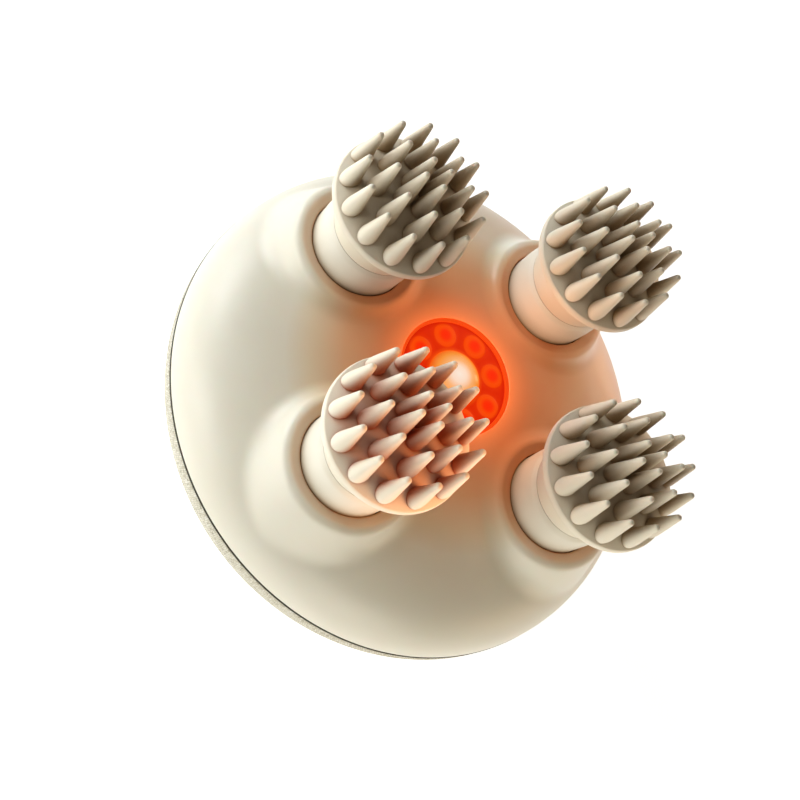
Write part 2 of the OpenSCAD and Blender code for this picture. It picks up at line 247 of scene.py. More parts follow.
def fill_between(outer, holes, spare, gap):
    """Triangles that fill a flat region. outer and holes are closed rows of points, spare the
    points strewn inside, which keep a gap from the rows. Returns all points and the triangles."""
    rows = [np.asarray(outer, float)] + [np.asarray(h, float) for h in holes]
    edge = np.concatenate(rows)
    spare = np.asarray(spare, float)
    keep = inside(rows[0], spare)
    for h in rows[1:]:
        keep &= ~inside(h, spare)
    spare = spare[keep]
    near = np.array([np.min(np.hypot(*(edge - p).T)) for p in spare])
    spare = spare[near > gap]
    points = np.concatenate([edge, spare])
    links, first = [], 0
    for row in rows:
        n = len(row)
        links += [(first + k, first + (k + 1) % n) for k in range(n)]
        first += n
    made = delaunay_2d_cdt([Vector(p) for p in points], links, [], 0, 1e-7)
    back = [orig[0] for orig in made[3]]
    tris = np.array([[back[i] for i in f] for f in made[2]])
    mid = points[tris].mean(axis=1)
    good = inside(rows[0], mid)
    for h in rows[1:]:
        good &= ~inside(h, mid)
    return points, [tuple(t) for t in tris[good]]


# -------------------- material helpers
def srgb(r, g, b):
    """Scene-linear colour from screen values of 0 to 255."""
    steps = (c / 255 for c in (r, g, b))
    return tuple(c / 12.92 if c <= 0.04 else ((c + 0.055) / 1.055) ** 2.4 for c in steps) + (1.0,)


class Nodes:
    """Small helper for writing node materials."""

    def __init__(self, name):
        self.mat = bpy.data.materials.new(name)
        self.mat.use_nodes = True
        self.tree = self.mat.node_tree
        self.tree.nodes.clear()
        self.out = self.tree.nodes.new("ShaderNodeOutputMaterial")
        self.shader = self.tree.nodes.new("ShaderNodeBsdfPrincipled")
        self.link(self.shader.outputs[0], self.out.inputs[0])

    def link(self, a, b):
        self.tree.links.new(a, b)

    def feed(self, socket, value):
        """Links a node's output to the socket, or sets a constant on it."""
        if isinstance(value, bpy.types.NodeSocket):
            self.link(value, socket)
        else:
            socket.default_value = value

    def node(self, kind, **inputs):
        """New node. An input goes by its name, or by i and its number."""
        made = self.tree.nodes.new("ShaderNode" + kind)
        for key, value in inputs.items():
            numbered = key[0] == "i" and key[1:].isdigit()
            self.feed(made.inputs[int(key[1:]) if numbered else key.replace("_", " ")], value)
        return made

    def math(self, operation, a, b=0.0, c=0.0):
        made = self.node("Math", i0=a, i1=b, i2=c)
        made.operation = operation
        return made.outputs[0]

    def place(self):
        """Object coordinates in millimetres."""
        if not hasattr(self, "_place"):
            coord = self.tree.nodes.new("ShaderNodeTexCoord").outputs["Object"]
            made = self.node("VectorMath", i0=coord, i1=(1 / MM,) * 3)
            made.operation = "MULTIPLY"
            self._place = made.outputs[0]
        return self._place

    def from_axis(self):
        """Distance from the object's own axis in millimetres."""
        apart = self.node("SeparateXYZ", Vector=self.place()).outputs
        made = self.node("VectorMath", i0=self.node("CombineXYZ", X=apart[0], Y=apart[1]).outputs[0])
        made.operation = "LENGTH"
        return made.outputs["Value"]

    def noise(self, scale, detail=3.0, rough=0.5):
        made = self.node("TexNoise", Vector=self.place(), Scale=scale, Detail=detail, Roughness=rough)
        return made.outputs["Fac"]

    def ramp(self, fac, stops):
        made = self.node("ValToRGB", Fac=fac)
        band = made.color_ramp
        while len(band.elements) < len(stops):
            band.elements.new(0.5)
        for element, (at, colour) in zip(band.elements, stops):
            element.position = at
            element.color = colour
        return made.outputs["Color"]

    def spread(self, fac, low, high, to_low=0.0, to_high=1.0):
        made = self.node("MapRange", Value=fac, From_Min=low, From_Max=high, To_Min=to_low, To_Max=to_high)
        return made.outputs[0]

    def mix(self, fac, a, b, blend="MIX"):
        made = self.tree.nodes.new("ShaderNodeMix")
        made.data_type = "RGBA"
        made.blend_type = blend
        for number, value in ((0, fac), (6, a), (7, b)):
            self.feed(made.inputs[number], value)
        return made.outputs[2]

    def painted_hollow_shade(self, tone, shade, distance):
        """Tone that turns to a painted shade in hollows and corners, found by ambient occlusion within a
        distance in millimetres.
        """
        open_air = self.node("AmbientOcclusion", Distance=distance * MM).outputs["AO"]
        return self.mix(self.spread(open_air, 0.3, 0.9), shade, tone)

    def bump(self, height, distance, strength=1.0):
        """distance is in millimetres."""
        made = self.node("Bump", Height=height, Distance=distance * MM, Strength=strength)
        self.link(made.outputs[0], self.shader.inputs["Normal"])

    def gloss(self, scale, low, high, detail=4.0, rough=0.6):
        """Uneven roughness between two values."""
        self.set(Roughness=self.spread(self.noise(scale, detail, rough), 0.3, 0.7, low, high))

    def set(self, **values):
        """Sets or links the shader's inputs."""
        for key, value in values.items():
            self.feed(self.shader.inputs[key.replace("_", " ")], value)


# -------------------- finishes
# Colour of the painted red glow on the shell near the window.
PAINTED_GLOW = (1.0, 0.13, 0.012, 1.0)


def shell_finish():
    """Satin ivory plastic, with painted shade in its hollows. Close to the light, the light that the thin
    wall lets through is painted on: an orange tint in the base colour and a red glow.
    """
    n = Nodes("ivory_shell")
    tone = n.ramp(n.noise(0.03, 3.0, 0.5), [(0.3, srgb(228, 222, 203)), (0.7, srgb(234, 228, 211))])
    reach = n.from_axis()
    # Painted red light: the base colour turns orange towards the window and fades out about 22 mm past its
    # ring.
    wide = n.spread(reach, RING_R + 4.0, RING_R + 22.0, 1.0, 0.0)
    painted_red_light = n.ramp(wide, [
        (0.0, (1.0, 1.0, 1.0, 1.0)), (0.25, (0.94, 0.84, 0.71, 1.0)),
        (0.6, (0.87, 0.57, 0.38, 1.0)), (1.0, (0.82, 0.43, 0.26, 1.0))])
    # Painted glow: the shell itself glows red within 8 mm of the ring.
    near = n.math("POWER", n.spread(reach, RING_R, RING_R + 8.0, 1.0, 0.0), 2.0)
    # Painted shade in the hollows, multiplied by the painted red light.
    n.set(Base_Color=n.mix(1.0, n.painted_hollow_shade(tone, srgb(208, 176, 138), 6.0), painted_red_light, "MULTIPLY"))
    n.set(Emission_Color=PAINTED_GLOW, Emission_Strength=n.math("MULTIPLY", near, 0.36))
    n.gloss(0.3, 0.36, 0.44)
    n.bump(n.noise(2.4, 3.0, 0.6), 0.006)
    n.set(Subsurface_Weight=0.12, Subsurface_Scale=0.002)
    n.set(Specular_IOR_Level=0.5, Coat_Weight=0.08, Coat_Roughness=0.3)
    return n.mat


def neck_finish():
    """The shell's plastic again, without the painted glow and red tint, with painted shade in its hollows."""
    n = Nodes("neck_plastic")
    tone = n.ramp(n.noise(0.05, 3.0, 0.5), [(0.3, srgb(228, 221, 203)), (0.7, srgb(235, 229, 213))])
    n.set(Base_Color=n.painted_hollow_shade(tone, srgb(140, 122, 90), 6.0))
    n.gloss(0.35, 0.36, 0.44)
    n.bump(n.noise(2.4, 3.0, 0.6), 0.003)
    n.set(Specular_IOR_Level=0.4)
    return n.mat


def silicone_finish(name, shade):
    """Soft matte silicone that lets a little light in, with that shade painted into its hollows."""
    n = Nodes(name)
    tone = n.ramp(n.noise(0.06, 3.0, 0.5), [(0.3, srgb(230, 219, 197)), (0.7, srgb(237, 228, 207))])
    n.set(Base_Color=n.painted_hollow_shade(tone, shade, 6.0))
    n.gloss(0.5, 0.42, 0.55)
    n.bump(n.noise(3.0, 4.0, 0.65), 0.008)
    n.set(Specular_IOR_Level=0.45, Subsurface_Weight=0.12, Subsurface_Scale=0.001, Sheen_Weight=0.05)
    n.set(Subsurface_Radius=(1.0, 0.55, 0.35))
    return n.mat


def window_finish():
    """Red window lit from behind, with a bright disc over each light."""
    n = Nodes("red_window")
    apart = n.node("SeparateXYZ", Vector=n.place()).outputs
    angle = n.math("ARCTAN2", apart[1], apart[0])
    turned = n.math("SUBTRACT", angle, LIGHT_START - LIGHT_STEP / 2 - 4 * math.pi)
    local = n.math("SUBTRACT", n.math("MODULO", turned, LIGHT_STEP), LIGHT_STEP / 2)
    r = n.from_axis()
    along = n.math("SUBTRACT", n.math("MULTIPLY", r, n.math("COSINE", local)), LIGHT_REACH)
    across = n.math("MULTIPLY", r, n.math("SINE", local))
    far = n.math("SQRT", n.math("ADD", n.math("POWER", along, 2.0), n.math("POWER", across, 2.0)))
    disc = n.ramp(n.spread(far, 0.0, 4.0), [
        (0.0, srgb(255, 40, 2)), (0.22, srgb(252, 46, 2)), (0.42, srgb(250, 76, 4)),
        (0.56, srgb(246, 72, 4)), (0.64, srgb(228, 46, 1)), (0.9, srgb(222, 38, 1))])
    edge = n.spread(r, WINDOW_R - 0.9, WINDOW_R + 0.1)
    shade = n.mix(edge, disc, srgb(208, 28, 2))
    inner = n.spread(r, LENS_R, LENS_R + 0.8, 1.0, 0.0)
    shade = n.mix(n.math("MULTIPLY", inner, 0.6), shade, srgb(246, 92, 10))
    n.set(Base_Color=srgb(96, 8, 2), Emission_Color=shade, Emission_Strength=0.95)
    n.gloss(0.5, 0.3, 0.38, 3.0, 0.5)
    n.bump(n.noise(1.5, 2.0, 0.5), 0.004)
    n.set(Specular_IOR_Level=0.15)
    return n.mat


def lens_finish():
    """Domed lens over the middle light: nearly white in the middle, orange at the rim."""
    n = Nodes("glowing_lens")
    shade = n.ramp(n.spread(n.from_axis(), 0.0, LENS_R), [
        (0.0, srgb(255, 236, 218)), (0.3, srgb(255, 222, 196)), (0.55, srgb(252, 178, 112)),
        (0.8, srgb(250, 150, 56)), (1.0, srgb(238, 96, 18))])
    n.set(Base_Color=srgb(70, 30, 12), Emission_Color=shade, Emission_Strength=0.95)
    n.gloss(0.5, 0.12, 0.2, 3.0, 0.5)
    n.bump(n.noise(1.5, 2.0, 0.5), 0.003)
    n.set(Specular_IOR_Level=0.4)
    return n.mat


def cloth_finish():
    """Plain woven cloth of heathered yarn, drawn on the cloth's flat places. Its lines waver a little."""
    n = Nodes("woven_cloth")
    at = n.node("Attribute")
    at.attribute_name = "cloth_place"
    wobble = n.node("TexNoise", Vector=at.outputs["Vector"], Scale=0.6, Detail=2.0)
    push = n.node("VectorMath", i0=wobble.outputs["Color"], i1=(0.5, 0.5, 0.5))
    push.operation = "SUBTRACT"
    small = n.node("VectorMath", i0=push.outputs[0], i1=(0.3, 0.3, 0.0))
    small.operation = "MULTIPLY"
    moved = n.node("VectorMath", i0=at.outputs["Vector"], i1=small.outputs[0])
    apart = n.node("SeparateXYZ", Vector=moved.outputs[0]).outputs
    u, v = (n.math("DIVIDE", apart[k], YARN_PITCH) for k in (0, 1))
    iu, iv = n.math("FLOOR", u), n.math("FLOOR", v)
    warp_over = n.math("PINGPONG", n.math("ADD", iu, iv), 1.0)

    def arch(place):
        """A yarn's round back: 0 at its edges and 1 in the middle."""
        return n.math("SINE", n.math("MULTIPLY", n.math("FRACT", place), math.pi))

    def yarn_height(across, along, over):
        """Height of a yarn that rises where it goes over the other."""
        rise = n.math("MULTIPLY", n.math("MULTIPLY", arch(along), over), 0.65)
        return n.math("MULTIPLY", n.math("POWER", arch(across), 0.6), n.math("ADD", rise, 0.3))

    warp = yarn_height(u, v, warp_over)
    weft = yarn_height(v, u, n.math("SUBTRACT", 1.0, warp_over))
    height = n.math("MAXIMUM", warp, weft)
    on_warp = n.math("GREATER_THAN", warp, weft)

    def yarn_tone(index, along, seed):
        """Each yarn's own tone, which varies slowly along it."""
        spot = n.node("CombineXYZ", X=index, Y=n.math("MULTIPLY", along, 0.22), Z=seed).outputs[0]
        shade = n.node("TexNoise", Vector=spot, Scale=1.7, Detail=3.0, Roughness=0.7).outputs["Fac"]
        return n.ramp(shade, [
            (0.30, srgb(176, 166, 138)), (0.44, srgb(222, 214, 190)), (0.55, srgb(240, 234, 215)),
            (0.66, srgb(250, 246, 234)), (0.78, srgb(208, 210, 206))])

    colour = n.mix(on_warp, yarn_tone(iv, u, 3.0), yarn_tone(iu, v, 11.0))
    # Painted shade: the colour is darkened where the weave lies low, between the yarns.
    hollow = n.spread(height, 0.1, 0.65, 0.68, 1.0)
    painted_weave_shade = n.node("CombineColor", i0=hollow, i1=hollow, i2=hollow).outputs[0]
    colour = n.mix(1.0, colour, painted_weave_shade, "MULTIPLY")
    n.set(Base_Color=colour, Roughness=n.spread(height, 0.0, 1.0, 0.95, 0.78))
    fibre = n.math("ADD", height, n.math("MULTIPLY", n.noise(9.0, 3.0, 0.7), 0.25))
    n.bump(fibre, 0.16, 0.9)
    n.set(Specular_IOR_Level=0.2, Sheen_Weight=0.25, Sheen_Roughness=0.5)
    return n.mat


# The front head's copy of the silicone has a painted red-brown shade in its hollows, standing in for the
# window's red light.
SILICONE_WITH_PAINTED_RED_SHADE = silicone_finish("silicone_with_painted_red_shade", srgb(170, 86, 46))
FINISHES = {
    "ivory_shell": shell_finish(), "neck_plastic": neck_finish(),
    "silicone": silicone_finish("silicone", srgb(156, 131, 97)),
    "red_window": window_finish(), "glowing_lens": lens_finish(), "woven_cloth": cloth_finish(),
}


def moulded(slot, light, dark, rough, grain, depth, specular=0.5, **more):
    """Moulded plastic, rubber or metal: two close tones, fine grain and uneven gloss."""
    n = Nodes(slot)
    n.set(Base_Color=n.ramp(n.noise(0.035, 4.0, 0.55), [(0.3, srgb(*dark)), (0.7, srgb(*light))]))
    n.gloss(0.35, rough - 0.04, rough + 0.05)
    n.bump(n.noise(grain, 3.0, 0.6), depth)
    n.set(Specular_IOR_Level=specular, **more)
    FINISHES[slot] = n.mat


moulded("ivory_silicone", (216, 207, 184), (206, 197, 173), 0.55, 2.6, 0.014)
moulded("grey_button", (128, 126, 120), (112, 110, 104), 0.5, 2.2, 0.02)
moulded("dark_gasket", (62, 55, 36), (48, 43, 29), 0.7, 2.2, 0.02)
moulded("dark_red_ring", (176, 24, 6), (150, 18, 5), 0.4, 2.0, 0.004, 0.2,
        Emission_Color=srgb(240, 78, 14), Emission_Strength=0.85)
moulded("red_light", (240, 60, 20), (220, 40, 10), 0.3, 1.5, 0.004,
        Emission_Color=srgb(255, 60, 10), Emission_Strength=1.0)
moulded("inner_plastic", (205, 203, 197), (190, 188, 182), 0.5, 2.0, 0.015)
moulded("circuit_board", (24, 92, 52), (16, 70, 40), 0.35, 1.2, 0.01)
moulded("chip_black", (30, 30, 32), (20, 20, 22), 0.45, 2.0, 0.01)
moulded("cell_wrap", (40, 92, 160), (30, 76, 140), 0.28, 1.0, 0.006)
moulded("motor_steel", (176, 178, 180), (150, 152, 156), 0.34, 2.8, 0.01, Metallic=1.0)
moulded("shaft_steel", (200, 202, 205), (178, 180, 184), 0.22, 3.5, 0.005, Metallic=1.0)
moulded("screw_steel", (184, 184, 186), (150, 150, 154), 0.3, 3.0, 0.008, Metallic=1.0)
moulded("bush_bronze", (176, 128, 72), (146, 100, 52), 0.38, 2.6, 0.012, Metallic=1.0)
moulded("gear_nylon", (232, 229, 220), (219, 216, 206), 0.42, 2.0, 0.01,
        Subsurface_Weight=0.1, Subsurface_Scale=0.001)

# -------------------- front shell
def dome_z(r, reach=BODY_R, rise=FRONT_RISE):
    """Height of the dome's face at a distance from the middle, falling away fast past its edge."""
    r = np.asarray(r, float)
    inner = np.clip(r / reach, 0, 0.9995)
    z = WIDEST_Z + rise * (1 - inner ** FRONT_POWER) ** (1 / FRONT_POWER)
    return z - np.clip(r - 0.9995 * reach, 0, None) * 40


def superellipse(reach, rise, power, count):
    """Radii and heights from the axis out to the widest place."""
    a = np.linspace(math.pi / 2, 0, count)
    return reach * np.cos(a) ** (2 / power), rise * np.sin(a) ** (2 / power)


def length_along(r, z):
    """Length along an outline up to each of its points."""
    return np.concatenate([[0], np.cumsum(np.hypot(np.diff(r), np.diff(z)))])


def outline_table(reach, rise, low):
    """Radius, height and length along the dome's outline from the middle down to a height."""
    r, up = superellipse(reach, rise, FRONT_POWER, 6000)
    z = WIDEST_Z + up
    keep = z >= low
    r, z = np.append(r[keep], np.interp(low, z[::-1], r[::-1])), np.append(z[keep], low)
    return r, z, length_along(r, z)


OUT_R, OUT_Z, OUT_S = outline_table(BODY_R, FRONT_RISE, SEAM_TOP + 0.3)
IN_LOW = SEAM_TOP + 1.5    # where the inner face meets the lip
IN_R, IN_Z, IN_S = outline_table(BODY_R - WALL, FRONT_RISE - WALL, IN_LOW)
HOLE_S = float(np.interp(RING_R + 0.28, OUT_R, OUT_S))
HOLE_IN_S = float(np.interp(RING_R, IN_R, IN_S))


def flatten(x, y):
    """Place in the unrolled dome for a point seen from above."""
    r = np.hypot(x, y)
    s = np.interp(r, OUT_R, OUT_S)
    k = np.where(r > 1e-9, s / np.maximum(r, 1e-9), 1.0)
    return np.stack([x * k, y * k], axis=-1)


def on_dome(uv):
    """The point of the dome's face at a place in the unrolled dome."""
    s = np.hypot(uv[:, 0], uv[:, 1])
    r = np.interp(s, OUT_S, OUT_R)
    z = np.interp(s, OUT_S, OUT_Z)
    k = np.where(s > 1e-9, r / np.maximum(s, 1e-9), 1.0)
    return np.stack([uv[:, 0] * k, uv[:, 1] * k, z], axis=1)


def under_dome(uv):
    """The point of the shell's inner face below a place in the unrolled dome."""
    s = np.hypot(uv[:, 0], uv[:, 1])
    f = (s - HOLE_S) / (OUT_S[-1] - HOLE_S)
    t = HOLE_IN_S + np.clip(f, 0, 1) * (IN_S[-1] - HOLE_IN_S)
    r, z = np.interp(t, IN_S, IN_R), np.interp(t, IN_S, IN_Z)
    k = r / np.maximum(s, 1e-9)
    return np.stack([uv[:, 0] * k, uv[:, 1] * k, z], axis=1)


COLLAR_R, COLLAR_EDGE = 13.4, 1.7
FLANK_RUN, FLANK_FALL = 3.8, 10.1
SEAT_DIP = 0.28
HOLLOW_IN, HOLLOW_OUT = 4.0, 9.0    # radius of the hollow at the foot, on the window's side and on the other
PATCH_R, PATCH_TRIM = 18.7, 1.7     # reach of a collar's own mesh, and how much less at the window
AROUND, AWAY = 160, 36              # points round a collar, and rows outwards
STEP = 0.05                         # of the finely drawn outlines


def rolled(line, ball):
    """Outline with its hollows filled, as far as a ball that rolls over it can't reach."""
    m = int(ball / STEP)
    u = np.arange(-m, m + 1) * STEP
    cap = np.sqrt(np.maximum(ball ** 2 - u ** 2, 0))

    def windows(heights):
        return np.lib.stride_tricks.sliding_window_view(np.pad(heights, m, mode="edge"), 2 * m + 1)

    lifted = np.max(windows(line) + cap, axis=1)
    return np.min(windows(lifted) - cap, axis=1)


def respaced(line, count):
    """That many points along a line, closer together where it turns."""
    d = np.diff(line, axis=0)
    turn = np.abs(np.diff(np.unwrap(np.arctan2(d[:, 1], d[:, 0]))))
    turn = np.convolve(np.concatenate([[0], turn]), np.ones(9) / 9, mode="same")
    weight = np.concatenate([[0], np.cumsum(np.hypot(d[:, 0], d[:, 1]) + 1.1 * turn)])
    at = np.linspace(0, weight[-1], count)
    return list(zip(np.interp(at, weight, line[:, 0]), np.interp(at, weight, line[:, 1])))


def collar_rows(axis):
    """Rows of points round one collar: the hole's wall, the seat, the rounded edge, the flank,
    the hollow where it meets the dome, and a little of the dome."""
    length = math.hypot(FLANK_RUN, FLANK_FALL)
    cr, cz = COLLAR_R - COLLAR_EDGE, RIM_Z - COLLAR_EDGE
    tr, tz = cr + COLLAR_EDGE * FLANK_FALL / length, cz + COLLAR_EDGE * FLANK_RUN / length
    x = np.arange(4.0, 27.0, STEP)
    own = np.full_like(x, RIM_Z)
    arc = (x > cr) & (x <= tr)
    own[arc] = cz + np.sqrt(np.maximum(COLLAR_EDGE ** 2 - (x[arc] - cr) ** 2, 0))
    own[x > tr] = tz - (x[x > tr] - tr) * FLANK_FALL / FLANK_RUN

    wall = [(HOLE_R, CAVITY_TOP), (HOLE_R, RIM_Z - 0.8), (HOLE_R, RIM_Z - 0.5)]
    seat_r, seat_low = HOLE_R + 0.1, RIM_Z - SEAT_DIP
    seat_w = cr - 0.15 - seat_r
    seat = [(HOLE_R, seat_low - 0.08), (HOLE_R + 0.03, seat_low - 0.02), (seat_r, seat_low)]
    seat += [(seat_r + t * seat_w, seat_low + SEAT_DIP * t ** 2) for t in np.linspace(0.12, 1, 9)]

    rows = [[] for _ in range(len(wall) + AWAY)]
    outward = math.atan2(axis[1], axis[0])
    for k, (c, s) in enumerate(circle(AROUND)):
        facing = math.cos(2 * math.pi * k / AROUND - outward)
        dome = dome_z(np.hypot(axis[0] + x * c, axis[1] + x * s))
        joined = rolled(np.maximum(own, dome), HOLLOW_IN + (HOLLOW_OUT - HOLLOW_IN) * max(0.0, facing))
        far = PATCH_R - PATCH_TRIM * max(0.0, -facing) ** 6
        out = x[(x > cr) & (x < far)]
        line = seat + list(zip(out, np.interp(out, x, joined))) + [(far, float(np.interp(far, x, joined)))]
        line = np.array(line)
        end = dome_z(math.hypot(axis[0] + far * c, axis[1] + far * s))
        ease = np.clip((line[:, 0] - (far - 1.0)) / 1.0, 0, 1)
        line[:, 1] += ease ** 2 * (end - line[-1, 1])
        for j, (r, z) in enumerate(wall + respaced(line, AWAY)):
            rows[j].append((axis[0] + r * c, axis[1] + r * s, z))
    return rows


def front_shell():
    """Thin shell: the dome, its inner face, the lip at its edge, the window's hole and four collars."""
    shape = Shape()
    ring, eye = np.array(circle(320)), np.array(circle(128))
    n, first = len(ring), len(ring) + len(eye)
    collars = [collar_rows(AXES[side]) for side in SIDES]
    holes = [eye * HOLE_S]
    for rows in collars:
        last = np.array(rows[-1])
        holes.append(flatten(last[:, 0], last[:, 1]))
    edge_s = OUT_S[-1]
    spare = strewn(HOLE_S + 0.9, edge_s - 0.8,
                   lambda s: (1.5, 1.5 * 0.87) if s < edge_s - 9 else (1.15, 1.15 * 0.87))
    uv, tris = fill_between(ring * edge_s, holes, spare, 0.55)
    top, low = on_dome(uv), under_dome(uv)
    spans = [slice(first + k * AROUND, first + (k + 1) * AROUND) for k in range(len(SIDES))]
    for span_at, rows in zip(spans, collars):
        top[span_at] = rows[-1]
    top_at, low_at = shape.add(top), shape.add(low)
    shape.faces += [tuple(top_at[i] for i in t) for t in tris]
    shape.faces += [tuple(low_at[i] for i in reversed(t)) for t in tris]

    lip_out, lip_in = BODY_R - CLOTH - WALL - 0.1, 44.3
    edge_r = float(OUT_R[-1])
    row = shape.turn(top_at[:n], [
        (edge_r - 0.02, SEAM_TOP + 0.14), (edge_r - 0.09, SEAM_TOP + 0.03), (edge_r - 0.25, SEAM_TOP),
        (lip_out, SEAM_TOP), (lip_out, LIP_LOW + 0.3), (lip_out - 0.3, LIP_LOW), (lip_in + 0.3, LIP_LOW),
        (lip_in, LIP_LOW + 0.3), (lip_in, IN_LOW)], ring)
    shape.bridge(row, low_at[:n])

    crest = float(np.interp(RING_R, OUT_R, OUT_Z))
    row = shape.turn(top_at[n:first], [
        (RING_R + 0.1, crest - 0.02), (RING_R + 0.02, crest - 0.1), (RING_R, crest - 0.25)], eye)
    shape.bridge(row, low_at[n:first])

    for side, span_at, rows in zip(SIDES, spans, collars):
        x, y = AXES[side]
        wall = shape.add(rows[0])
        shape.bridge(shape.grow(wall, rows[1:-1]), top_at[span_at])
        inner_edge = low_at[span_at]
        rim = np.array([shape.verts[i] for i in inner_edge])
        cave = np.array([(x + CAVITY_R * c, y + CAVITY_R * s) for c, s in circle(AROUND)])
        back = [wall, shape.add([(*p, CAVITY_TOP) for p in cave])]
        for f in np.linspace(0, 1, 7)[:-1]:
            mid = cave * (1 - f) + rim[:, :2] * f
            z = dome_z(np.hypot(mid[:, 0], mid[:, 1]), BODY_R - WALL, FRONT_RISE - WALL)
            back.append(shape.add(np.column_stack([mid, np.minimum(z, CAVITY_TOP - 0.3)])))
        back.append(inner_edge)
        for a, b in zip(back, back[1:]):
            shape.bridge(b, a)
    return shape


def slab_outline(w, h, r, steps=6):
    """Rounded rectangle about its middle."""
    out = []
    for sx, sy, start in ((1, 1, 0), (-1, 1, 90), (-1, -1, 180), (1, -1, 270)):
        for i in range(steps + 1):
            a = math.radians(start + 90 * i / steps)
            out.append((sx * (w / 2 - r) + r * math.cos(a), sy * (h / 2 - r) + r * math.sin(a)))
    return out


def at_port(radial, across, z):
    """Point at a distance out from the axis and across from the port's middle."""
    c, s = math.cos(PORT_ANGLE), math.sin(PORT_ANGLE)
    return (radial * c - across * s, radial * s + across * c, z)


def dome_depth(across, z, inset):
    """How far out the dome's face, sunk by inset, lies at the port."""
    up = min(max((z - WIDEST_Z) / (FRONT_RISE - inset), 0), 1)
    r = (BODY_R - inset) * (1 - up ** FRONT_POWER) ** (1 / FRONT_POWER)
    return math.sqrt(max(r ** 2 - across ** 2, 1))


def combine(ob, shape, operation="DIFFERENCE"):
    """Takes a closed shape away from a piece, or joins it on."""
    tool = shape.link("cutter")
    mod = ob.modifiers.new("cut", "BOOLEAN")
    mod.operation, mod.solver, mod.object = operation, "EXACT", tool
    bpy.context.view_layer.update()
    made = bpy.data.meshes.new_from_object(ob.evaluated_get(bpy.context.evaluated_depsgraph_get()))
    ob.modifiers.clear()
    ob.data = made
    bpy.data.objects.remove(tool)


def slab_shape(w, h, r, middle_z, near, far):
    """Closed rounded slab along the port's direction; near(across, z) is its inner face."""
    shape = Shape()
    outline = slab_outline(w, h, r)

    def drawn_in(k):
        """The outline on the inner face, scaled towards its middle."""
        return [at_port(near(a * k, middle_z + b * k), a * k, middle_z + b * k) for a, b in outline]

    edge = shape.add(drawn_in(1.0))
    row = shape.grow(edge, [drawn_in(0.6), drawn_in(0.25)])
    shape.close(row, at_port(near(0, middle_z), 0, middle_z))
    cap = shape.add([at_port(far, a, middle_z + b) for a, b in outline])
    shape.bridge(cap, edge)
    shape.faces.append(tuple(cap))
    return shape


FLAP_LOW, FLAP_HIGH = HINGE_Z, box_mm("port_cover")[1][2]
FLAP_W, FLAP_THICK, FLAP_GAP = 13.0, 1.0, 0.25
POCKET_LOW, POCKET_HIGH = HINGE_Z - 0.75, FLAP_HIGH + FLAP_GAP
POCKET_BACK = 40.0
CLEAR_OF_DOME = 52.0
PORT_W = 9.6


def port_hole():
    """The hole that the charging port looks out of."""
    lo, hi = box_mm("charge_port")
    port_h = hi[2] - lo[2]
    return slab_shape(PORT_W, port_h + 0.5, 0.8, lo[2] + port_h / 2 + 0.05,
                      lambda a, z: POCKET_BACK, CLEAR_OF_DOME)


def flap_pocket():
    """The shallow pocket that the flap lies in."""
    return slab_shape(FLAP_W + 2 * FLAP_GAP, POCKET_HIGH - POCKET_LOW, 1.6, (POCKET_LOW + POCKET_HIGH) / 2,
                      lambda a, z: dome_depth(a, z, FLAP_THICK + 0.15), CLEAR_OF_DOME)


shell = piece("front_shell_smooth", front_shell(), "housing", "ivory_shell", "front_shell")
combine(shell, port_hole())
combine(shell, flap_pocket())
smooth(shell, 38)

# -------------------- spike heads
# Each ring of spikes: how many, distance from the head's axis, first angle, and how far its tips stay down.
SPIKE_RINGS = [(13, 11.4, 135.0, 3.5), (8, 7.1, 0.0, 1.3), (4, 2.55, 67.5, 0.0)]
PLATE_TOP, PLATE_CROWN, CROWN_R = 74.0, 3.6, 13.2
FOOT_R, SPIKE_R, SPIKE_TIP_R = 1.58, 1.7, 0.6
SPIKE_FOOT_H, SPIKE_TIP_H = 1.1, 0.6
SLEEVE_R, SPIGOT_R = 9.04, 7.0


def crown(r):
    """Height of the plate's face at a distance from the head's axis."""
    return PLATE_TOP + PLATE_CROWN * (1 - (np.asarray(r, float) / CROWN_R) ** 2)


def spike_rows(tall):
    """Half width of a spike at heights above the plate: a full drop-like foot, a straight cone and
    a blunt rounded tip."""
    foot, tip = SPIKE_R - 0.03, SPIKE_TIP_R
    rows = [(FOOT_R + 0.07, 0.12), (SPIKE_R - 0.01, 0.35), (SPIKE_R, 0.65), (foot, SPIKE_FOOT_H)]
    for t in np.linspace(0, 1, 9)[1:]:
        rows.append((foot + (tip + 0.04 - foot) * t, SPIKE_FOOT_H + t * (tall - SPIKE_TIP_H - SPIKE_FOOT_H)))
    return rows + [(tip - 0.02, tall - 0.34), (tip - 0.13, tall - 0.16), (tip - 0.29, tall - 0.04)]


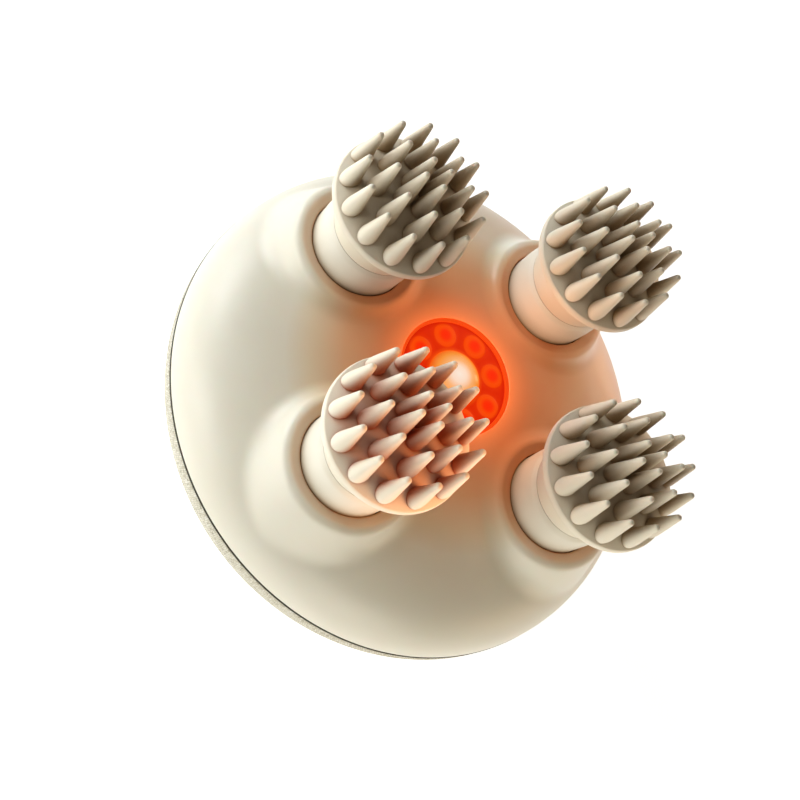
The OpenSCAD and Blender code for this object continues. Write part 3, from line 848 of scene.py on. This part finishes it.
def head_shape():
    """One head about its own axis: the crowned plate with its spikes, and the sleeve below it."""
    shape = Shape()
    plate, spike = circle(120), circle(22)
    feet, tall = [], []
    for count, radius, start, drop in SPIKE_RINGS:
        for i in range(count):
            a = math.radians(start + i * 360 / count)
            feet.append((radius * math.cos(a), radius * math.sin(a)))
            tall.append(TIP_TOP - drop - float(crown(radius)))
    holes = [[(x + FOOT_R * c, y + FOOT_R * s) for c, s in spike] for x, y in feet]
    spare = [(0.0, 0.0)] + strewn(0.9, CROWN_R - 0.2, lambda s: (0.9, 0.8))
    flat, tris = fill_between([(CROWN_R * c, CROWN_R * s) for c, s in plate], holes, spare, 0.28)
    face_at = shape.add(np.column_stack([flat, crown(np.hypot(flat[:, 0], flat[:, 1]))]))
    shape.faces += [tuple(face_at[i] for i in t) for t in tris]

    first = len(plate)
    for (x, y), high in zip(feet, tall):
        base, rows = float(crown(math.hypot(x, y))), []
        for r, h in spike_rows(high):
            lean = max(0.0, 1 - h / 1.6)
            ring = [(x + r * c, y + r * s) for c, s in spike]
            rows.append([(*p, base + h + lean * (float(crown(math.hypot(*p))) - base)) for p in ring])
        shape.close(shape.grow(face_at[first:first + len(spike)], rows), (x, y, base + high))
        first += len(spike)

    rim = [(0.19, 0.05), (0.1, 0.17), (0.03, 0.38), (0.0, 0.65),
           (0.0, 1.15), (0.03, 1.4), (0.12, 1.6), (0.28, 1.74)]
    outline = [(PLATE_R - inwards, PLATE_TOP - down) for inwards, down in rim]
    outline += soften([(13.0, 72.18), (10.7, 71.85), (9.35, 70.7), (9.02, 68.9), (SLEEVE_R, SLEEVE_LOW)],
                      [0, 1.2, 1.6, 1.2, 0], 5, False)[:-1]
    outline += [(SLEEVE_R, SLEEVE_LOW + 0.25), (SLEEVE_R - 0.09, SLEEVE_LOW + 0.06),
                (SLEEVE_R - 0.24, SLEEVE_LOW), (SPIGOT_R, SLEEVE_LOW), (SPIGOT_R, HUB_TOP)]
    shape.close(shape.turn(face_at[:len(plate)], outline, plate), (0, 0, HUB_TOP))
    return shape


def neck_line():
    """Profile of a neck, wider at its foot than at the sleeve, with a spigot up into the head."""
    bore_r, bore_top = 3.0, HUB_TOP - 2
    corners = [
        ((bore_r, HUB_LOW), 0), ((9.2, HUB_LOW), 0), ((9.66, HUB_LOW + 0.6), 0.3), ((9.66, 57.4), 6),
        ((9.74, 59.8), 4), ((9.70, 61.6), 3), ((9.50, 63.0), 1.6), ((8.95, SLEEVE_LOW), 0.1),
        ((SPIGOT_R, SLEEVE_LOW), 0), ((SPIGOT_R, HUB_TOP), 0), ((0.0, HUB_TOP), 0), ((0.0, bore_top), 0),
        ((bore_r, bore_top), 0)]
    return soften(*zip(*corners), 5)


head = head_shape()
for side in SIDES:
    ax, ay = AXES[side]
    body = f"head_{side}"
    placed = Shape()
    placed.verts, placed.faces = [(x + ax, y + ay, z) for x, y, z in head.verts], head.faces
    piece(f"spike_head_{side}", placed, body, "silicone", f"massage_head_{side}", 50,
          SILICONE_WITH_PAINTED_RED_SHADE if side == "front" else None)
    piece(f"neck_{side}", lathe(neck_line(), 144, (ax, ay)), body, "neck_plastic", f"neck_hub_{side}")

# -------------------- light
def window_shape():
    """Flat window with a low dome over each light and a hole for the lens."""
    shape = Shape()
    rim, small = circle(144), circle(40)
    n, face_z = len(rim), WINDOW_TOP - 0.12
    out_r, in_r = WINDOW_R - 0.12, LENS_R + 0.12
    turns = [LIGHT_START + k * LIGHT_STEP for k in range(LIGHTS)]
    spots = [(LIGHT_REACH * math.cos(a), LIGHT_REACH * math.sin(a)) for a in turns]
    holes = [[(in_r * c, in_r * s) for c, s in rim]]
    holes += [[(x + LIGHT_DISC_R * c, y + LIGHT_DISC_R * s) for c, s in small] for x, y in spots]
    spare = [(r * c, r * s) for r in np.arange(in_r + 0.4, out_r, 0.55) for c, s in circle(89)]
    flat, tris = fill_between([(out_r * c, out_r * s) for c, s in rim], holes, spare, 0.22)
    face_at = shape.add([(x, y, face_z) for x, y in flat])
    shape.faces += [tuple(face_at[i] for i in t) for t in tris]
    first = 2 * n
    for x, y in spots:
        dome = [(2.25, 0.05), (2.05, 0.10), (1.6, 0.155), (1.0, 0.2), (0.4, 0.215)]
        row = face_at[first:first + len(small)]
        row = shape.turn(row, [(r, face_z + up) for r, up in dome], small, (x, y))
        shape.close(row, (x, y, face_z + 0.22))
        first += len(small)
    edge_z = face_z - 0.12
    row = shape.turn(face_at[:n], [
        (WINDOW_R, edge_z), (WINDOW_R, WINDOW_LOW), (LENS_R, WINDOW_LOW), (LENS_R, edge_z)], rim)
    shape.bridge(row, face_at[n:2 * n])
    return shape


def ring_line():
    """Profile of the dark red ring round the window, its top sloping a little inwards."""
    return soften([(RING_R, RING_LOW), (RING_R, RING_TOP), (WINDOW_R, RING_TOP - 0.25), (WINDOW_R, RING_LOW)],
                  [0.0, 0.18, 0.15, 0.0], 4)


def lens_line():
    """Profile of the lens: a short straight side and a quarter of an ellipse."""
    side_top, steps = LENS_LOW + 1.1, 12
    turns = [math.pi / 2 * i / steps for i in range(1, steps)]
    dome = [(LENS_R * math.cos(a), side_top + (LENS_TOP - side_top) * math.sin(a)) for a in turns]
    foot = [(0.0, LENS_LOW), (LENS_R - 0.1, LENS_LOW), (LENS_R, LENS_LOW + 0.1), (LENS_R, side_top)]
    return foot + dome + [(0.0, LENS_TOP)]


piece("light_window_lit", window_shape(), "housing", "red_window", "light_window", 35)
piece("window_ring_round", lathe(ring_line(), 160), "housing", "dark_red_ring", "window_ring")
piece("centre_lens_domed", lathe(lens_line(), 96), "housing", "glowing_lens", "centre_lens", 60)


# -------------------- cloth grip
def grip_line(inset, low_r, top_z):
    """Outline of the grip from its foot up to the seam."""
    r, down = superellipse(BODY_R - inset, REAR_DROP - inset, REAR_POWER, 4000)
    keep = r >= low_r
    r, z = r[keep], WIDEST_Z - down[keep]
    s = length_along(r, z)
    at = np.linspace(0, s[-1], 64)
    return list(zip(np.interp(at, s, r), np.interp(at, s, z))) + [(BODY_R - inset, top_z)]


CLOTH_FOOT_R = CAP_R + 0.12


def cloth_line(outer, inner):
    """Closed profile of the cloth, with rounded edges at the base cap and at the seam."""
    foot_z = outer[0][1]
    line = [(CLOTH_FOOT_R, foot_z + 0.35), (CAP_R + 0.2, foot_z + 0.08)] + outer[1:-1]
    line += [(BODY_R, SEAM_LOW - 0.45), (BODY_R - 0.07, SEAM_LOW - 0.16), (BODY_R - 0.25, SEAM_LOW - 0.03),
             (BODY_R - 0.5, SEAM_LOW), (BODY_R - CLOTH + 0.1, SEAM_LOW)]
    return line + inner[::-1][1:] + [(CLOTH_FOOT_R, inner[0][1])]


outer = grip_line(0.0, CLOTH_FOOT_R, SEAM_LOW)
inner = grip_line(CLOTH - 0.1, CAP_R + 0.9, SEAM_LOW)
cloth = piece("grip_cloth", lathe(cloth_line(outer, inner), 256), "housing", "woven_cloth",
              "fabric_cover", 70)

# The weave follows the cloth as if it were laid flat: cloth_place is each point's place on that disc.
line_r, line_z = np.array(outer).T
line_s = CAP_R + 1.0 + length_along(line_r, line_z)
place = cloth.data.attributes.new("cloth_place", "FLOAT_VECTOR", "POINT")
spots = np.array([v.co for v in cloth.data.vertices]) / MM
along = np.interp(spots[:, 2], line_z, line_s)
turned = np.arctan2(spots[:, 1], spots[:, 0])
flat = np.column_stack([along * np.cos(turned), along * np.sin(turned), np.zeros(len(spots))])
place.data.foreach_set("vector", flat.astype(np.float32).ravel())

# -------------------- seam, base cap, button and flap
def seam_profile():
    """Gasket between shell and cloth, a hair proud of both."""
    out_r = BODY_R + 0.04
    in_r = out_r - 3.4
    return soften([(out_r, SEAM_LOW), (out_r, SEAM_TOP), (in_r, SEAM_TOP), (in_r, SEAM_LOW)], 0.15, 3)


def cap_line():
    """Profile of the base cap: a rounded foot, a wall up into the housing, and a hole for the button."""
    floor_z, wall_out, wall_in, button_hole = 1.7, 15, 13, 6.3
    corners = [
        ((10, 0), 0.5), ((16, 0), 0.5), ((16.7, 0.3), 0.6), ((CAP_R, 1), 0.4), ((CAP_R, floor_z), 0),
        ((wall_out, floor_z), 0), ((wall_out, CAP_TOP), 0), ((wall_in, CAP_TOP), 0), ((wall_in, floor_z), 0),
        ((button_hole, floor_z), 0.1), ((button_hole, 0.9), 0.2), ((9.5, 0.9), 0.5)]
    return soften(*zip(*corners), 5)


def button_line():
    """Profile of the button: a dished face, a step that rests in the cap, and a stem."""
    face_r, step_z, back_z, stem_r = BUTTON_R - 1.4, 1.75, 2.6, 2
    dish = [(0, 0.75), (1.6, 0.74), (3.2, 0.68), (4.4, 0.6), (4.75, 0.53)]
    body = [(4.9, 0.5), (5.5, 0.5), (face_r, 0.92), (face_r, step_z), (BUTTON_R, step_z), (BUTTON_R, back_z),
            (stem_r, back_z), (stem_r, BUTTON_TOP), (0, BUTTON_TOP)]
    return dish + soften(body, [0.1, 0.3, 0.25, 0, 0.1, 0.1, 0.1, 0.1, 0], 4, False)


piece("seam_line", lathe(seam_profile(), 256), "housing", "dark_gasket", "seam_ring")
piece("base_cap_round", lathe(cap_line(), 144), "housing", "ivory_shell", "base_cap",
      finish=FINISHES["neck_plastic"])
piece("power_button_dished", lathe(button_line(), 96), "power_button", "grey_button", "power_button")


def flap_shape():
    """Port flap that follows the dome, with eased edges and a small finger ridge."""
    shape = Shape()
    w, h, mid = FLAP_W, FLAP_HIGH - FLAP_LOW, (FLAP_LOW + FLAP_HIGH) / 2
    outline = slab_outline(w, h, 1.4, 8)
    ridge_y, ridge_half, ridge_high, ridge_reach = 1.35, 0.42, 0.45, 3.2

    def row(inset, depth, ridge=False):
        """The outline drawn in by inset, at a depth below the dome's face."""
        made = []
        for a, b in outline:
            x, y = a * (w / 2 - inset) / (w / 2), b * (h / 2 - inset) / (h / 2)
            out = 0.0
            if ridge:
                ends = 1 + math.exp((abs(x) - ridge_reach) / 0.22)
                out = ridge_high * math.exp(-((y - ridge_y) / ridge_half) ** 2) / ends
            made.append(at_port(dome_depth(x, mid + y, depth) + out, x, mid + y))
        return made

    edge = [row(0.1, FLAP_THICK - 0.08), row(0.0, FLAP_THICK - 0.3), row(0.0, 0.3), row(0.06, 0.12),
            row(0.2, 0.02), row(0.4, 0.0)]
    face = [row(inset, 0.0, True) for inset in (*np.arange(0.6, 2.5, 0.2), 2.55)]
    back = shape.add(row(0.35, FLAP_THICK))
    front = shape.grow(back, edge + face)
    shape.faces += [tuple(front), tuple(back)]
    return shape


def hinge_bead():
    """Round bead along the flap's lower edge, on the hinge."""
    shape = Shape()
    half, r, eased = 3.0, 0.4, 0.12
    stations = [(-half, r - eased), (eased - half, r), (half - eased, r), (half, r - eased)]
    rows = [[at_port(HINGE_REACH + r * c, x, HINGE_Z + r * s) for c, s in circle(24)] for x, r in stations]
    start = shape.add(rows[0])
    end = shape.grow(start, rows[1:])
    shape.faces += [tuple(start), tuple(end)]
    return shape


flap = piece("port_flap", flap_shape(), "port_cover", "ivory_silicone", "port_cover", 55)
combine(flap, hinge_bead(), "UNION")
smooth(flap, 55)

# -------------------- the other CAD nodes keep their shape
for subpart in frame["record"]["subparts"]:
    node = frame["nodes"][subpart["node"]]
    node.data.materials.clear()
    node.data.materials.append(FINISHES[subpart["material_slot"]])

# -------------------- floor, light and camera
def floor():
    """Pale floor, a hair below the base cap. It glows a little, so that it is nearly white."""
    n = Nodes("pale_floor")
    tone = n.ramp(n.noise(0.004, 2.0, 0.5), [(0.3, (0.90, 0.90, 0.895, 1)), (0.7, (0.93, 0.93, 0.93, 1))])
    n.set(Base_Color=tone, Roughness=0.8, Specular_IOR_Level=0.1)
    n.set(Emission_Color=(0.97, 0.995, 1.0, 1.0), Emission_Strength=0.8)
    clear = 0.02
    me = bpy.data.meshes.new("floor")
    me.from_pydata([(-4, -4, 0), (4, -4, 0), (4, 4, 0), (-4, 4, 0)], [], [(0, 1, 2, 3)])
    me.materials.append(n.mat)
    ob = bpy.data.objects.new("floor", me)
    ob.location.z = (CAP_LOW - clear) * MM
    bpy.context.scene.collection.objects.link(ob)


floor()


MIDDLE = Vector((0, 0, 45))
STUDIO_REACH = 600


def lamp(name, kind, at, power, colour, size, aim=MIDDLE):
    """Lamp that the camera doesn't see. at and aim are in millimetres, size in metres."""
    data = bpy.data.lights.new(name, kind)
    data.energy = power
    data.color = colour
    if kind == "AREA":
        data.shape = "RECTANGLE"
        data.size = data.size_y = size
    else:
        data.shadow_soft_size = size
    ob = bpy.data.objects.new(name, data)
    ob.location = Vector(at) * MM
    ob.rotation_mode = "QUATERNION"
    ob.rotation_quaternion = (Vector(aim) - Vector(at)).to_track_quat("-Z", "Y")
    ob.visible_camera = False
    bpy.context.scene.collection.objects.link(ob)
    return ob


def soft_box(name, azimuth, elevation, power, colour):
    """Soft box round the object, its azimuth counted from +X towards +Y."""
    a, e = math.radians(azimuth), math.radians(elevation)
    away = Vector((math.cos(a) * math.cos(e), math.sin(a) * math.cos(e), math.sin(e)))
    lamp(name, "AREA", MIDDLE + STUDIO_REACH * away, power, colour, 0.3)


def light_only(light, *names):
    """The light falls on these pieces alone."""
    group = bpy.data.collections.new(light.name + "_falls_on")
    for name in names:
        group.objects.link(bpy.data.objects[name])
    light.light_linking.receiver_collection = group
    light.light_linking.blocker_collection = group


soft_box("key", 180, 17, 2.2, (0.91, 0.96, 1.0))
soft_box("key_front", 225, 8, 1.5, (1.0, 0.99, 0.96))
soft_box("fill_front", 315, 8, 1.1, (1.0, 0.97, 0.84))
soft_box("fill_right", 5, 4, 0.75, (1.0, 0.72, 0.46))
soft_box("fill_back", 80, 6, 1.05, (1.0, 0.68, 0.42))
soft_box("top", 180, 90, 0.2, (1.0, 0.93, 0.78))

# The window's red light on its surroundings: on the shell near and far, on the heads beside it, and on
# the front head, which catches most of it.
red_glow = lamp("red_glow", "POINT", (0, 0, LENS_TOP + 6.5), 0.008, (1.0, 0.36, 0.11), 0.004)
red_spread = lamp("red_spread", "POINT", (32, 58, 94), 0.036, (1.0, 0.2, 0.05), 0.02)
for light in (red_glow, red_spread):
    light.visible_glossy = False
    light_only(light, "front_shell_smooth")
peach = lamp("peach_bounce", "POINT", (0, 0, LENS_TOP + 8), 0.008, (1.0, 0.6, 0.33), 0.01)
light_only(peach, "neck_back", "neck_right", "spike_head_back")
red_side = lamp("red_side", "AREA", (95, -20, 150), 0.15, (1.0, 0.4, 0.14), 0.07, (*AXES["front"], PLATE_TOP))
light_only(red_side, "spike_head_front", "neck_front")

# The world is bright where the camera looks past the floor, and dim as a light.
WORLD_LIGHT, WORLD_SEEN = 0.03, 1.0
world = bpy.data.worlds.new("studio")
world.use_nodes = True
backdrop = world.node_tree.nodes["Background"]
backdrop.inputs["Color"].default_value = (1.0, 0.995, 0.985, 1.0)
seen = world.node_tree.nodes.new("ShaderNodeLightPath").outputs["Is Camera Ray"]
strength = world.node_tree.nodes.new("ShaderNodeMapRange")
strength.inputs["To Min"].default_value = WORLD_LIGHT
strength.inputs["To Max"].default_value = WORLD_SEEN
world.node_tree.links.new(seen, strength.inputs["Value"])
world.node_tree.links.new(strength.outputs["Result"], backdrop.inputs["Strength"])
bpy.context.scene.world = world
view = bpy.context.scene.view_settings
view.view_transform, view.look, view.exposure = "Standard", "None", 0.0

# The camera's place and its own axes, as fitted to the four heads.
CAMERA_AT = (-12.80, -148.13, 251.66)
CAMERA_RIGHT = (0.60704, 0.64051, 0.47038)
CAMERA_UP = (-0.79364, 0.51882, 0.31774)
CAMERA_BACK = (-0.04052, -0.56619, 0.82328)
cam_data = bpy.data.cameras.new("camera")
cam_data.lens = 58.96
cam_data.sensor_width = 36.0
cam_data.clip_start, cam_data.clip_end = 0.01, 20.0
camera = bpy.data.objects.new("camera", cam_data)
turned = Matrix((CAMERA_RIGHT, CAMERA_UP, CAMERA_BACK)).transposed()
camera.matrix_world = Matrix.Translation(Vector(CAMERA_AT) * MM) @ turned.to_4x4()
bpy.context.scene.collection.objects.link(camera)
bpy.context.scene.camera = camera
